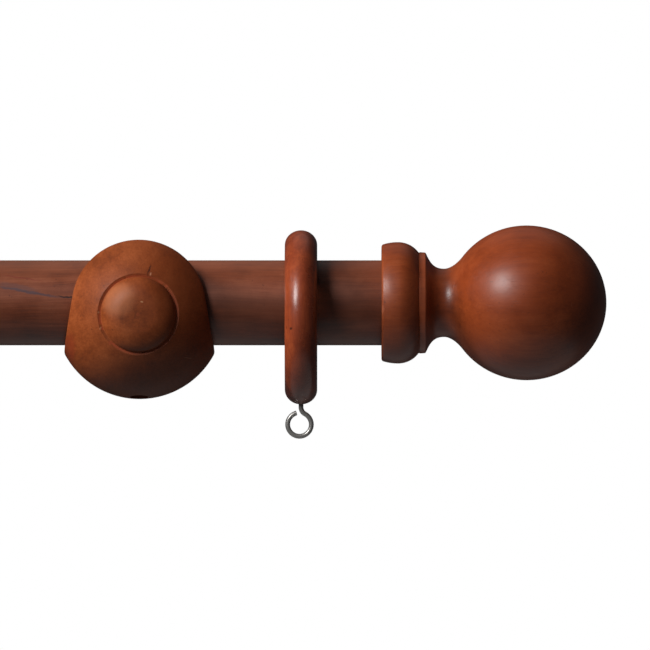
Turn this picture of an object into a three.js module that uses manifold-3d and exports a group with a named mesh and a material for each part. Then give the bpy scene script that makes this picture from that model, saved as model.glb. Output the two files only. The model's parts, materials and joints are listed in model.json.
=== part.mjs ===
// A 28 mm wooden curtain pole kit: the pole, its two turned cradle brackets with their wall fixings,
// two turned ball finials on dowel screws, and wooden rings with steel screw eyes.
//
// Frame: millimetres, +X along the pole, the wall face is the plane y = 0 with the room on the -Y side,
// +Z up. The origin is the middle of the right bracket's wall plate, on the face that meets the wall.
import * as THREE from "three";
import { mergeVertices } from "three/addons/utils/BufferGeometryUtils.js";
import Module from "manifold-3d";

const wasm = await Module();
wasm.setup();

// ---- driving dimensions -------------------------------------------------------------------------

const FIT_GAP = 0.3; // working gap between pieces that touch or turn on each other

const POLE_RADIUS = 14;
const POLE_LENGTH = 900;
const POLE_CHAMFER = 0.6;

const PROJECTION = 70; // wall to the pole's axis
const POLE_RISE = 3.8; // pole axis above the axis the bracket is turned on
const CRADLE_LEAN = THREE.MathUtils.degToRad(10); // the open slot leans back towards the wall
const CRADLE_RADIUS = POLE_RADIUS + 0.4;
const HEAD_RADIUS = 27.9;
const BUTTON_RADIUS = 12.5;
const NECK_RADIUS = 11.2;
const NECK_START = 24; // from the wall to where the neck is straight
const NECK_END = 36;
const HEAD_BLEND_RADIUS = 14; // where the neck's hollow runs into the ball
const FLANGE_RADIUS = 22;
const FLANGE_THICKNESS = 4.2; // of the flange's straight rim
const FLANGE_SHOULDER_RADIUS = 18.4;
const FLANGE_SHOULDER = 9; // from the wall to the end of the flange's round
const BEAD_RADIUS = 17.2;
const BEAD_START = 9.4;
const BEAD_END = 10.8;
const BUTTON_RISE = 2; // how far the button's middle stands out of the ball
const BUTTON_SIDE = 3.4; // height of the button's straight side below the front of the ball

const PLATE_RADIUS = 17.5;
const PLATE_SEAT_GAP = 0.8; // all round the plate in the back of the flange
const PLATE_ROUND = 0.5;
const PLATE_THICKNESS = 2.5;
const PLATE_RECESS = 3.2; // depth of the seat for the plate in the back of the flange
const STUD_RADIUS = 3;
const STUD_CHAMFER = 0.8;
const STUD_END = 17.5; // distance from the wall to the stud's tip
const INSERT_RADIUS = 4.7;
const INSERT_CHAMFER = 0.6;
const INSERT_LENGTH = 13;
const INSERT_HOLE_END = 20;
const WALL_SCREW_OFFSET = 11.5; // each screw's distance above or below the plate's middle
const WALL_SCREW_RADIUS = 2;
const WALL_SCREW_HEAD = 4;
const WALL_SCREW_LENGTH = 40;
const WALL_SCREW_POINT = 6;

const LOCK_SHANK_RADIUS = 1.75;
const LOCK_HEAD_RADIUS = 2.75;
const LOCK_HEAD_HEIGHT = 2.4;
const LOCK_SEAT = 24.5; // distance from the pole's axis to the outer face of the lock screw's head
const LOCK_TIP = 8; // distance from the pole's axis to the screw's tip
const LOCK_POINT = 3;

const COLLAR_REACH = 79.7; // bracket axis to the finial's collar face
const SOCKET_DEPTH = 10;
const SOCKET_RADIUS = POLE_RADIUS + 0.45;
const COLLAR_RADIUS = 20;
const COLLAR_NOSING = 0.6; // how much the collar is rounded in at its face
const OVOLO = 8.4; // radius of the collar's quarter round
const OVOLO_START = 5.5; // from the collar face, as are the distances below
const OVOLO_SWEEP = Math.asin(0.786);
const FILLET_RADIUS = 16.6;
const FILLET_START = 12.5;
const FILLET_END = 14.7;
const FILLET_ROUND = 0.5;
const FINIAL_NECK = 20.6;
const FINIAL_NECK_RADIUS = 11.25;
const BALL_RADIUS = 25.65;
const BALL_HALF_LENGTH = 26.3; // the ball is a little longer than it is wide
const BALL_CENTRE = 47.8;
const BALL_START = 26.6;
const BALL_START_ANGLE = -Math.acos(0.592);

const DOWEL_RADIUS = 2.5;
const DOWEL_LENGTH = 44;
const DOWEL_POINT = 5;
const DOWEL_HOLE = 24.3; // depth of the pilot hole in the pole and in the finial

const RING_OUTER_RADIUS = 28.75;
const RING_BAR_RADIUS = 4.8; // half the ring's thickness, measured radially
const RING_BAR_STRETCH = 1.1; // the bar is a little wider along the pole than it is thick
const RINGS_BETWEEN = 6;
const OUTER_RING_REACH = 53.2; // bracket axis to the ring outside it

const EYE_WIRE_RADIUS = 0.8;
const EYE_LOOP_RADIUS = 3.9; // centre line of the wire
const EYE_DROP = 6.7; // ring's lowest point to the loop's centre
const EYE_SHIFT = -0.5; // the loop hangs slightly to one side of its shank
const EYE_THREAD_DEPTH = 6;
const EYE_JOIN_ANGLE = THREE.MathUtils.degToRad(62); // on the loop, where the shank runs into it
const EYE_END_ANGLE = THREE.MathUtils.degToRad(-255);
const EYE_SHANK_SHARE = 0.34; // of the wire's length
const EYE_STRAIGHT = 0.42; // of the loop's drop, down to the shank's bend
const EYE_RUN_IN = 1.2; // how far the bend already follows the loop

const WOOD_FACETS = 28;
const FINIAL_FACETS = 24;
const PLATE_FACETS = 32;
const METAL_FACETS = 16;
const HOLE_FACETS = 12;
const COARSE_CURVES = 3; // straight parts for each curve of a large outline
const OVERCUT = 1; // how far a cutter passes the surface

// ---- values worked out from them ----------------------------------------------------------------

const POLE_END_REACH = COLLAR_REACH + SOCKET_DEPTH - FIT_GAP;
const BRACKET_SPAN = POLE_LENGTH - 2 * POLE_END_REACH;
const POLE_AXIS = new THREE.Vector3(0, -PROJECTION, POLE_RISE);
const RING_RADIUS = RING_OUTER_RADIUS - RING_BAR_RADIUS;
const RING_DROP = RING_RADIUS - RING_BAR_RADIUS - POLE_RADIUS - FIT_GAP;

// ---- materials ----------------------------------------------------------------------------------

const headWood = new THREE.MeshStandardMaterial({ color: 0x7a3a1f, roughness: 0.5, metalness: 0 });
const poleWood = new THREE.MeshStandardMaterial({ color: 0x5a2a1c, roughness: 0.55, metalness: 0 });
const finialWood = new THREE.MeshStandardMaterial({ color: 0x64271a, roughness: 0.38, metalness: 0 });
const ringWood = new THREE.MeshStandardMaterial({ color: 0x7c2a16, roughness: 0.3, metalness: 0 });
const nickel = new THREE.MeshStandardMaterial({ color: 0x9a9690, roughness: 0.3, metalness: 1 });
const zincSteel = new THREE.MeshStandardMaterial({ color: 0xa8a89c, roughness: 0.4, metalness: 1 });
const brass = new THREE.MeshStandardMaterial({ color: 0xb48a42, roughness: 0.35, metalness: 1 });

// ---- shaping helpers ----------------------------------------------------------------------------

/** A solid turned about +Y from an outline of (radius, distance along) that ends on the axis or closes. */
function turned(outline, facets, curveSteps = 5) {
  const points = outline.getPoints(curveSteps);
  return new THREE.LatheGeometry(points, facets);
}

/** A geometry as a manifold solid. */
function solidOf(geometry) {
  const bare = geometry.index ? geometry.toNonIndexed() : geometry.clone();
  bare.deleteAttribute("normal");
  bare.deleteAttribute("uv");
  const merged = mergeVertices(bare, 1e-3);
  const mesh = new wasm.Mesh({
    numProp: 3,
    vertProperties: merged.attributes.position.array,
    triVerts: new Uint32Array(merged.index.array),
  });
  return new wasm.Manifold(mesh);
}

/** A manifold solid as a geometry. */
function geometryOf(solid) {
  const mesh = solid.getMesh();
  const geometry = new THREE.BufferGeometry();
  geometry.setAttribute("position", new THREE.BufferAttribute(mesh.vertProperties, 3));
  geometry.setIndex(new THREE.BufferAttribute(mesh.triVerts, 1));
  geometry.computeVertexNormals();
  return geometry;
}

/** A geometry with each of the tools' geometries taken out of it. */
function cut(geometry, tools) {
  let solid = solidOf(geometry);
  for (const tool of tools) {
    solid = solid.subtract(solidOf(tool));
  }
  return geometryOf(solid);
}

/** A named mesh of one piece. */
function piece(name, geometry, material) {
  const mesh = new THREE.Mesh(geometry, material);
  mesh.name = name;
  return mesh;
}

/** A plain round pin outline from one distance along the axis to another. */
function pinOutline(radius, start, end) {
  const outline = new THREE.Path();
  outline.moveTo(0, start);
  outline.lineTo(radius, start);
  outline.lineTo(radius, end);
  outline.lineTo(0, end);
  return outline;
}

/** Lays a geometry made along +Y along the cradle's slot, from the pole's axis away from the mouth. */
function alongSlot(geometry) {
  return geometry
    .rotateX(-Math.PI / 2 - CRADLE_LEAN)
    .translate(POLE_AXIS.x, POLE_AXIS.y, POLE_AXIS.z);
}

// ---- pole ---------------------------------------------------------------------------------------

/** The pole, from its left end along +Y, with a pilot hole for a dowel screw in each end. */
function poleGeometry() {
  const pilot = DOWEL_RADIUS + FIT_GAP;
  const outline = new THREE.Path();
  outline.moveTo(0, DOWEL_HOLE);
  outline.lineTo(pilot, DOWEL_HOLE);
  outline.lineTo(pilot, 0);
  outline.lineTo(POLE_RADIUS - POLE_CHAMFER, 0);
  outline.lineTo(POLE_RADIUS, POLE_CHAMFER);
  outline.lineTo(POLE_RADIUS, POLE_LENGTH - POLE_CHAMFER);
  outline.lineTo(POLE_RADIUS - POLE_CHAMFER, POLE_LENGTH);
  outline.lineTo(pilot, POLE_LENGTH);
  outline.lineTo(pilot, POLE_LENGTH - DOWEL_HOLE);
  outline.lineTo(0, POLE_LENGTH - DOWEL_HOLE);
  const bar = turned(outline, WOOD_FACETS);
  bar.rotateZ(-Math.PI / 2);
  bar.translate(-BRACKET_SPAN - POLE_END_REACH, POLE_AXIS.y, POLE_AXIS.z);
  const holes = [0, -BRACKET_SPAN].map((x) => {
    const pin = pinOutline(LOCK_SHANK_RADIUS + FIT_GAP, LOCK_TIP - FIT_GAP, POLE_RADIUS + OVERCUT);
    return alongSlot(turned(pin, HOLE_FACETS)).translate(x, 0, 0);
  });
  return cut(bar, holes);
}

// ---- bracket ------------------------------------------------------------------------------------

/** The bracket's turned outline, from the insert's hole round the flange, neck, ball head and button. */
function bracketOutline() {
  const blendAngle = -Math.acos(HEAD_BLEND_RADIUS / HEAD_RADIUS);
  const blendStart = PROJECTION + HEAD_RADIUS * Math.sin(blendAngle);
  const rimRadius = BUTTON_RADIUS + 0.2;
  const rimAngle = Math.acos(rimRadius / HEAD_RADIUS);
  const face = PROJECTION + HEAD_RADIUS;
  const insertHole = INSERT_RADIUS + FIT_GAP;
  const seat = PLATE_RADIUS + PLATE_SEAT_GAP;
  const edge = 0.8;
  const outline = new THREE.Path();
  outline.moveTo(0, INSERT_HOLE_END);
  outline.lineTo(insertHole, INSERT_HOLE_END);
  outline.lineTo(insertHole, PLATE_RECESS);
  outline.lineTo(seat, PLATE_RECESS);
  outline.lineTo(seat, 0);
  outline.lineTo(FLANGE_RADIUS - edge, 0);
  outline.lineTo(FLANGE_RADIUS, edge);
  outline.lineTo(FLANGE_RADIUS, FLANGE_THICKNESS);
  outline.quadraticCurveTo(FLANGE_RADIUS, FLANGE_SHOULDER - 0.4, FLANGE_SHOULDER_RADIUS, FLANGE_SHOULDER);
  outline.lineTo(BEAD_RADIUS, BEAD_START);
  outline.lineTo(BEAD_RADIUS, BEAD_END);
  outline.bezierCurveTo(BEAD_RADIUS - 2.2, BEAD_END + 0.8, NECK_RADIUS, 15.5, NECK_RADIUS, NECK_START);
  outline.lineTo(NECK_RADIUS, NECK_END);
  outline.bezierCurveTo(NECK_RADIUS, NECK_END + 5, 11.5, 44.4, HEAD_BLEND_RADIUS, blendStart);
  outline.absarc(0, PROJECTION, HEAD_RADIUS, blendAngle, rimAngle);
  outline.lineTo(BUTTON_RADIUS - 0.2, face - BUTTON_SIDE);
  outline.lineTo(BUTTON_RADIUS - 0.5, face - BUTTON_SIDE + 1);
  outline.quadraticCurveTo(BUTTON_RADIUS - 0.5, face, BUTTON_RADIUS - 3, face + 0.6);
  outline.quadraticCurveTo(BUTTON_RADIUS / 2.5, face + BUTTON_RISE, 0, face + BUTTON_RISE);
  return outline;
}

/** The U-shaped slot that the pole drops into, leaning back, long enough to cross the whole head. */
function cradleSlot() {
  const slot = new THREE.Shape();
  slot.moveTo(-CRADLE_RADIUS, 2 * HEAD_RADIUS);
  slot.lineTo(-CRADLE_RADIUS, 0);
  slot.absarc(0, 0, CRADLE_RADIUS, Math.PI, 2 * Math.PI);
  slot.lineTo(CRADLE_RADIUS, 2 * HEAD_RADIUS);
  slot.closePath();
  const length = 2.4 * HEAD_RADIUS;
  const tool = new THREE.ExtrudeGeometry(slot, {
    depth: length,
    bevelEnabled: false,
    curveSegments: HOLE_FACETS,
  });
  tool.translate(0, 0, -length / 2);
  tool.rotateY(Math.PI / 2);
  tool.rotateX(Math.PI / 2 - CRADLE_LEAN);
  return tool.translate(POLE_AXIS.x, POLE_AXIS.y, POLE_AXIS.z);
}

/** The turned bracket, with the cradle cut across its head and the lock screw's hole under it. */
function bracketGeometry() {
  const blank = turned(bracketOutline(), WOOD_FACETS, COARSE_CURVES).rotateX(Math.PI);
  const headInner = LOCK_SEAT - LOCK_HEAD_HEIGHT - FIT_GAP;
  const shankPin = pinOutline(LOCK_SHANK_RADIUS + FIT_GAP, CRADLE_RADIUS - 2 * OVERCUT, LOCK_SEAT);
  const headPin = pinOutline(LOCK_HEAD_RADIUS + FIT_GAP, headInner, HEAD_RADIUS + LOCK_SEAT / 2);
  const shankHole = alongSlot(turned(shankPin, HOLE_FACETS));
  const headHole = alongSlot(turned(headPin, METAL_FACETS));
  return cut(blank, [cradleSlot(), shankHole, headHole]);
}

// ---- wall fixing --------------------------------------------------------------------------------

/** The countersunk screw's outline along the wall's normal, grown by a gap where it is used as a cutter. */
function wallScrewOutline(gap) {
  const seat = PLATE_THICKNESS + gap;
  const coneEnd = PLATE_THICKNESS - (WALL_SCREW_HEAD - WALL_SCREW_RADIUS);
  const tip = PLATE_THICKNESS - WALL_SCREW_LENGTH;
  const outline = new THREE.Path();
  outline.moveTo(0, tip);
  outline.lineTo(WALL_SCREW_RADIUS + gap, tip + WALL_SCREW_POINT);
  outline.lineTo(WALL_SCREW_RADIUS + gap, coneEnd);
  outline.lineTo(WALL_SCREW_HEAD + gap, PLATE_THICKNESS);
  if (gap > 0) {
    outline.lineTo(WALL_SCREW_HEAD + gap, seat);
  }
  outline.lineTo(0, seat);
  return outline;
}

/** One wall screw, above or below the plate's middle. */
function wallScrewGeometry(side, gap = 0) {
  const screw = turned(wallScrewOutline(gap), METAL_FACETS);
  return screw.rotateX(Math.PI).translate(0, 0, side * WALL_SCREW_OFFSET);
}

/** The steel wall plate, countersunk for its two screws. */
function wallPlateGeometry() {
  const outline = new THREE.Path();
  outline.moveTo(0, 0);
  outline.lineTo(PLATE_RADIUS, 0);
  outline.lineTo(PLATE_RADIUS, PLATE_THICKNESS - PLATE_ROUND);
  outline.lineTo(PLATE_RADIUS - PLATE_ROUND, PLATE_THICKNESS);
  outline.lineTo(0, PLATE_THICKNESS);
  const disc = turned(outline, PLATE_FACETS).rotateX(Math.PI);
  return cut(disc, [wallScrewGeometry(1, FIT_GAP), wallScrewGeometry(-1, FIT_GAP)]);
}

/** The threaded stud that is welded to the middle of the wall plate. */
function studGeometry() {
  const outline = new THREE.Path();
  outline.moveTo(0, PLATE_THICKNESS);
  outline.lineTo(STUD_RADIUS, PLATE_THICKNESS);
  outline.lineTo(STUD_RADIUS, STUD_END - STUD_CHAMFER);
  outline.lineTo(STUD_RADIUS - STUD_CHAMFER, STUD_END);
  outline.lineTo(0, STUD_END);
  return turned(outline, METAL_FACETS).rotateX(Math.PI);
}

/** The threaded insert in the bracket's back, which screws onto the stud. */
function insertGeometry() {
  const bore = STUD_RADIUS + FIT_GAP;
  const start = PLATE_RECESS + FIT_GAP;
  const outline = new THREE.Path();
  outline.moveTo(bore, start);
  outline.lineTo(INSERT_RADIUS, start);
  outline.lineTo(INSERT_RADIUS, start + INSERT_LENGTH - INSERT_CHAMFER);
  outline.lineTo(INSERT_RADIUS - INSERT_CHAMFER, start + INSERT_LENGTH);
  outline.lineTo(bore, start + INSERT_LENGTH);
  outline.lineTo(bore, start);
  return turned(outline, METAL_FACETS).rotateX(Math.PI);
}

/** The small pan-head screw under the head that keeps the pole from turning and lifting. */
function lockScrewGeometry() {
  const headInner = LOCK_SEAT - LOCK_HEAD_HEIGHT;
  const outline = new THREE.Path();
  outline.moveTo(0, LOCK_TIP);
  outline.lineTo(LOCK_SHANK_RADIUS, LOCK_TIP + LOCK_POINT);
  outline.lineTo(LOCK_SHANK_RADIUS, headInner);
  outline.lineTo(LOCK_HEAD_RADIUS, headInner);
  outline.quadraticCurveTo(LOCK_HEAD_RADIUS, LOCK_SEAT, 0, LOCK_SEAT);
  return alongSlot(turned(outline, METAL_FACETS, COARSE_CURVES));
}

/** One complete bracket: the turned wood and all that holds it to the wall and holds the pole in it. */
function bracketAssembly(side) {
  const group = new THREE.Group();
  group.add(piece("bracket_" + side, bracketGeometry(), headWood));
  group.add(piece("wall_plate_" + side, wallPlateGeometry(), zincSteel));
  group.add(piece("plate_stud_" + side, studGeometry(), zincSteel));
  group.add(piece("insert_nut_" + side, insertGeometry(), brass));
  group.add(piece("wall_screw_" + side + "_upper", wallScrewGeometry(1), zincSteel));
  group.add(piece("wall_screw_" + side + "_lower", wallScrewGeometry(-1), zincSteel));
  group.add(piece("pole_lock_screw_" + side, lockScrewGeometry(), zincSteel));
  return group;
}

// ---- finial -------------------------------------------------------------------------------------

/** The finial's turned outline from its dowel hole and socket round the collar, fillet, neck and ball. */
function finialOutline() {
  const holeEnd = SOCKET_DEPTH + DOWEL_HOLE;
  const holeRadius = DOWEL_RADIUS + FIT_GAP;
  const noseRadius = COLLAR_RADIUS - COLLAR_NOSING;
  const ballStartRadius = BALL_RADIUS * Math.cos(BALL_START_ANGLE);
  const outline = new THREE.Path();
  outline.moveTo(0, holeEnd);
  outline.lineTo(holeRadius, holeEnd);
  outline.lineTo(holeRadius, SOCKET_DEPTH);
  outline.lineTo(SOCKET_RADIUS, SOCKET_DEPTH);
  outline.lineTo(SOCKET_RADIUS, 0);
  outline.lineTo(noseRadius - 1, 0);
  outline.quadraticCurveTo(noseRadius - 0.15, 0, noseRadius, 1);
  outline.quadraticCurveTo(COLLAR_RADIUS, 3, COLLAR_RADIUS, OVOLO_START);
  outline.absarc(COLLAR_RADIUS - OVOLO, OVOLO_START, OVOLO, 0, OVOLO_SWEEP);
  outline.lineTo(FILLET_RADIUS, FILLET_START);
  outline.lineTo(FILLET_RADIUS, FILLET_END - FILLET_ROUND);
  outline.lineTo(FILLET_RADIUS - FILLET_ROUND, FILLET_END);
  outline.bezierCurveTo(13.3, 16, FINIAL_NECK_RADIUS, 17.2, FINIAL_NECK_RADIUS, FINIAL_NECK);
  outline.bezierCurveTo(FINIAL_NECK_RADIUS, 22.8, 13.2, 25.1, ballStartRadius, BALL_START);
  outline.absellipse(0, BALL_CENTRE, BALL_RADIUS, BALL_HALF_LENGTH, BALL_START_ANGLE, Math.PI / 2);
  return outline;
}

/** The dowel screw's outline about the middle of its length, pointed at both ends. */
function dowelOutline() {
  const half = DOWEL_LENGTH / 2;
  const outline = new THREE.Path();
  outline.moveTo(0, -half);
  outline.lineTo(DOWEL_RADIUS, DOWEL_POINT - half);
  outline.lineTo(DOWEL_RADIUS, half - DOWEL_POINT);
  outline.lineTo(0, half);
  return outline;
}

/** The finial and its dowel screw. direction is 1 at the right end of the pole and -1 at the left. */
function finialAssembly(side, direction) {
  const group = new THREE.Group();
  const reach = direction > 0 ? COLLAR_REACH : -BRACKET_SPAN - COLLAR_REACH;
  const finial = turned(finialOutline(), FINIAL_FACETS, COARSE_CURVES).rotateZ((-direction * Math.PI) / 2);
  finial.translate(reach, POLE_AXIS.y, POLE_AXIS.z);
  const dowel = turned(dowelOutline(), METAL_FACETS).rotateZ(-Math.PI / 2);
  dowel.translate(reach + direction * (SOCKET_DEPTH - FIT_GAP / 2), POLE_AXIS.y, POLE_AXIS.z);
  group.add(piece("finial_" + side, finial, finialWood));
  group.add(piece("dowel_screw_" + side, dowel, zincSteel));
  return group;
}

// ---- curtain ring -------------------------------------------------------------------------------

/** The wooden ring about its own centre, standing across the pole, with the screw eye's pilot hole. */
function ringGeometry() {
  const ring = new THREE.TorusGeometry(RING_RADIUS, RING_BAR_RADIUS, 8, 24);
  ring.scale(1, 1, RING_BAR_STRETCH);
  ring.rotateY(Math.PI / 2);
  const pin = pinOutline(EYE_WIRE_RADIUS + FIT_GAP, -EYE_THREAD_DEPTH - FIT_GAP, 2 * OVERCUT);
  const hole = turned(pin, HOLE_FACETS);
  hole.rotateX(-Math.PI / 2);
  hole.translate(0, 0, -RING_OUTER_RADIUS);
  return cut(ring, [hole]);
}

/** The screw eye's wire: down the shank, over to one side and round the loop, short of the shank. */
class EyePath extends THREE.Curve {
  /** The point of the loop at an angle from +X. */
  onLoop(angle) {
    const spoke = new THREE.Vector3(Math.cos(angle), 0, Math.sin(angle));
    return spoke.multiplyScalar(EYE_LOOP_RADIUS).add(new THREE.Vector3(EYE_SHIFT, 0, -EYE_DROP));
  }

  /** The bend from the wood down to the loop. */
  shank() {
    const join = this.onLoop(EYE_JOIN_ANGLE);
    const along = new THREE.Vector3(Math.sin(EYE_JOIN_ANGLE), 0, -Math.cos(EYE_JOIN_ANGLE));
    const start = new THREE.Vector3(0, 0, EYE_THREAD_DEPTH);
    const down = new THREE.Vector3(0, 0, -EYE_DROP * EYE_STRAIGHT);
    return new THREE.CubicBezierCurve3(start, down, join.clone().addScaledVector(along, -EYE_RUN_IN), join);
  }

  getPoint(t, target = new THREE.Vector3()) {
    if (t > EYE_SHANK_SHARE) {
      const share = (t - EYE_SHANK_SHARE) / (1 - EYE_SHANK_SHARE);
      return target.copy(this.onLoop(THREE.MathUtils.lerp(EYE_JOIN_ANGLE, EYE_END_ANGLE, share)));
    }
    return target.copy(this.shank().getPoint(t / EYE_SHANK_SHARE));
  }
}

/** The screw eye about the ring's lowest point. */
function eyeGeometry() {
  const section = new THREE.Shape();
  section.absarc(0, 0, EYE_WIRE_RADIUS, 0, 2 * Math.PI);
  return new THREE.ExtrudeGeometry(section, { steps: 18, curveSegments: 3, extrudePath: new EyePath() });
}

/** A ring with its eye, hung on the pole at a distance along it. */
function ringAssembly(number, x) {
  const group = new THREE.Group();
  group.position.set(x, POLE_AXIS.y, POLE_AXIS.z - RING_DROP);
  const eye = piece("screw_eye_" + number, eyeGeometry(), nickel);
  eye.position.z = -RING_OUTER_RADIUS;
  group.add(piece("curtain_ring_" + number, ringGeometry(), ringWood));
  group.add(eye);
  return group;
}

/** Where the rings hang, from left to right: one outside each bracket and the rest evenly between them. */
function ringPlaces() {
  const between = Array.from({ length: RINGS_BETWEEN }, (_, i) => {
    return -BRACKET_SPAN + ((i + 1) * BRACKET_SPAN) / (RINGS_BETWEEN + 1);
  });
  return [-BRACKET_SPAN - OUTER_RING_REACH, ...between, OUTER_RING_REACH];
}

// ---- the whole kit ------------------------------------------------------------------------------

const kit = new THREE.Group();

const leftBracket = bracketAssembly("left");
leftBracket.position.x = -BRACKET_SPAN;
kit.add(bracketAssembly("right"), leftBracket);

kit.add(piece("pole", poleGeometry(), poleWood));
kit.add(finialAssembly("right", 1), finialAssembly("left", -1));

ringPlaces().forEach((x, i) => kit.add(ringAssembly(i + 1, x)));

export default kit;
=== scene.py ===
"""A 28 mm wooden curtain pole kit in its finished looks.

The pole lies in two turned cradle brackets and ends in ball finials, and wooden rings with screw
eyes slide on it. The classes hold their sizes in millimetres, and the meshes are in metres. +X runs
along the pole, the wall is the plane y = 0 with the room on its -Y side, and +Z is up.
"""

import json
import logging
import math
from collections.abc import Callable, Sequence
from dataclasses import dataclass, field
from enum import Enum

import bpy
import numpy as np
from mathutils import Matrix, Vector


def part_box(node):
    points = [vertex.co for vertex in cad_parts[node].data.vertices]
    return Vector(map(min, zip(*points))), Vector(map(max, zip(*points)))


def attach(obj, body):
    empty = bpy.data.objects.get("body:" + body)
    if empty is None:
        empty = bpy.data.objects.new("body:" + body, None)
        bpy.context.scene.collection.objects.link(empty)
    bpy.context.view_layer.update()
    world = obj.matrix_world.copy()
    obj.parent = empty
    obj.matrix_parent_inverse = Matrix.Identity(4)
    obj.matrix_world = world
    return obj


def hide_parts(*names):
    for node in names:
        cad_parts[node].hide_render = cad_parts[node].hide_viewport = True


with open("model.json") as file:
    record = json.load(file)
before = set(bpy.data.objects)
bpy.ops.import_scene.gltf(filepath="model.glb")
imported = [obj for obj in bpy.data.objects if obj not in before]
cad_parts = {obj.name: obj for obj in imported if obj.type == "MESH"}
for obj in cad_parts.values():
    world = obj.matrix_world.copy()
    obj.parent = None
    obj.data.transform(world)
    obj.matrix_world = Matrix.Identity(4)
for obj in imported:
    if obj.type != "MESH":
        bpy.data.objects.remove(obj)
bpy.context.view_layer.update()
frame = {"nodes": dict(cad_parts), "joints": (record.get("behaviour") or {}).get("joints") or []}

LOG = logging.getLogger("curtain_pole")
MM = 0.001
FULL_TURN = 2 * math.pi
OUT_OF_WALL = Vector((0, -1, 0))
Colour = tuple[float, float, float]
Triple = tuple[float, float, float]


# ---- the frame's places -------------------------------------------------------------------------


@dataclass(frozen=True)
class Places:
    """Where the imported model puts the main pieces, in metres.

    Attributes:
        pole_centre: The middle of the pole's axis.
        pole_radius: The pole's radius.
        pole_length: The pole's length.
        brackets: Each side's bracket axis, as its distance along X.
        collars: Each side's finial collar face, as its distance along X.
        rings: The centre of each ring, from left to right.
        ring_radius: The rings' outer radius.
    """

    pole_centre: Vector
    pole_radius: float
    pole_length: float
    brackets: dict[str, float]
    collars: dict[str, float]
    rings: list[Vector]
    ring_radius: float

    @staticmethod
    def middle(node: str) -> Vector:
        """Gives the middle of a node's box."""
        low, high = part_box(node)
        return (low + high) / 2

    @classmethod
    def from_frame(cls) -> "Places":
        """Reads the places from the frame's nodes.

        Returns:
            The places that every class below builds on.
        """
        low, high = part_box("pole")
        ring_count = sum(name.startswith("curtain_ring_") for name in frame["nodes"])
        ring_low, ring_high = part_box("curtain_ring_1")
        return cls(
            pole_centre=(low + high) / 2,
            pole_radius=(high.z - low.z) / 2,
            pole_length=high.x - low.x,
            brackets={side: cls.middle(f"bracket_{side}").x for side in ("right", "left")},
            collars={"right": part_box("finial_right")[0].x, "left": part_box("finial_left")[1].x},
            rings=[cls.middle(f"curtain_ring_{number + 1}") for number in range(ring_count)],
            ring_radius=(ring_high.z - ring_low.z) / 2,
        )

    def on_pole(self, x: float) -> Vector:
        """Gives the point of the pole's axis at a distance along X."""
        return Vector((x, self.pole_centre.y, self.pole_centre.z))


# ---- shaping ------------------------------------------------------------------------------------


@dataclass
class Outline:
    """Half of a turned section in millimetres, as points of (radius, distance along the axis)."""

    points: list[tuple[float, float]] = field(default_factory=list)

    def to(self, radius: float, along: float, parts: int = 1) -> "Outline":
        """Draws a straight stretch.

        Args:
            radius: Radius of the stretch's end.
            along: Distance of the end along the axis.
            parts: How many equal parts the stretch is divided into.

        Returns:
            The outline, so that calls can follow each other.
        """
        if not self.points:
            self.points.append((radius, along))
            return self
        first_radius, first_along = self.points[-1]
        if math.hypot(radius - first_radius, along - first_along) < 1e-4:
            return self
        for part in range(1, parts + 1):
            share = part / parts
            step_radius = first_radius + (radius - first_radius) * share
            self.points.append((step_radius, first_along + (along - first_along) * share))
        return self

    def curve(self, *controls: tuple[float, float], parts: int = 8) -> "Outline":
        """Draws a Bezier curve from the last point.

        Args:
            controls: The curve's control points, the last of which is its end.
            parts: How many straight parts stand for the curve.

        Returns:
            The outline, so that calls can follow each other.
        """
        start = self.points[-1]
        for part in range(1, parts + 1):
            share = part / parts
            level = [Vector(point) for point in (start, *controls)]
            while len(level) > 1:
                level = [a.lerp(b, share) for a, b in zip(level, level[1:])]
            self.to(level[0].x, level[0].y)
        return self

    def arc(
        self,
        centre: tuple[float, float],
        reach: tuple[float, float],
        start: float,
        end: float,
        parts: int = 12,
    ) -> "Outline":
        """Draws an arc of a circle or an ellipse.

        Args:
            centre: The arc's centre.
            reach: The half axes, across and along the turning axis.
            start: Angle at which it starts, in radians from straight out.
            end: Angle at which it ends.
            parts: How many straight parts stand for the arc.

        Returns:
            The outline, so that calls can follow each other.
        """
        for part in range(parts + 1):
            angle = start + (end - start) * part / parts
            self.to(centre[0] + reach[0] * math.cos(angle), centre[1] + reach[1] * math.sin(angle))
        return self


class Joining(Enum):
    """How a second solid changes a piece."""

    CUT = "DIFFERENCE"
    ADD = "UNION"


def only(*pieces: bpy.types.Object) -> None:
    """Leaves just these pieces selected, with the last one active."""
    active = bpy.context.view_layer.objects.active
    if active is not None and active.mode != "OBJECT":
        bpy.ops.object.mode_set(mode="OBJECT")
    bpy.ops.object.select_all(action="DESELECT")
    for piece in pieces:
        piece.select_set(True)
    bpy.context.view_layer.objects.active = pieces[-1]


def edit_points(piece: bpy.types.Object, chosen: Callable[[Vector], bool]) -> None:
    """Opens a piece in edit mode with some of its points selected.

    Args:
        piece: The piece to open.
        chosen: Says from a point's place whether it is selected.
    """
    only(piece)
    bpy.ops.object.mode_set(mode="EDIT")
    bpy.ops.mesh.select_mode(type="VERT")
    bpy.ops.mesh.select_all(action="DESELECT")
    bpy.ops.object.mode_set(mode="OBJECT")
    for vertex in piece.data.vertices:
        vertex.select = chosen(vertex.co)
    bpy.ops.object.mode_set(mode="EDIT")


def close_up(piece: bpy.types.Object) -> None:
    """Merges a piece's doubled points, turns its faces outwards and leaves edit mode."""
    edit_points(piece, lambda place: True)
    bpy.ops.mesh.remove_doubles(threshold=1e-6)
    bpy.ops.mesh.normals_make_consistent(inside=False)
    bpy.ops.object.mode_set(mode="OBJECT")


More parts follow.
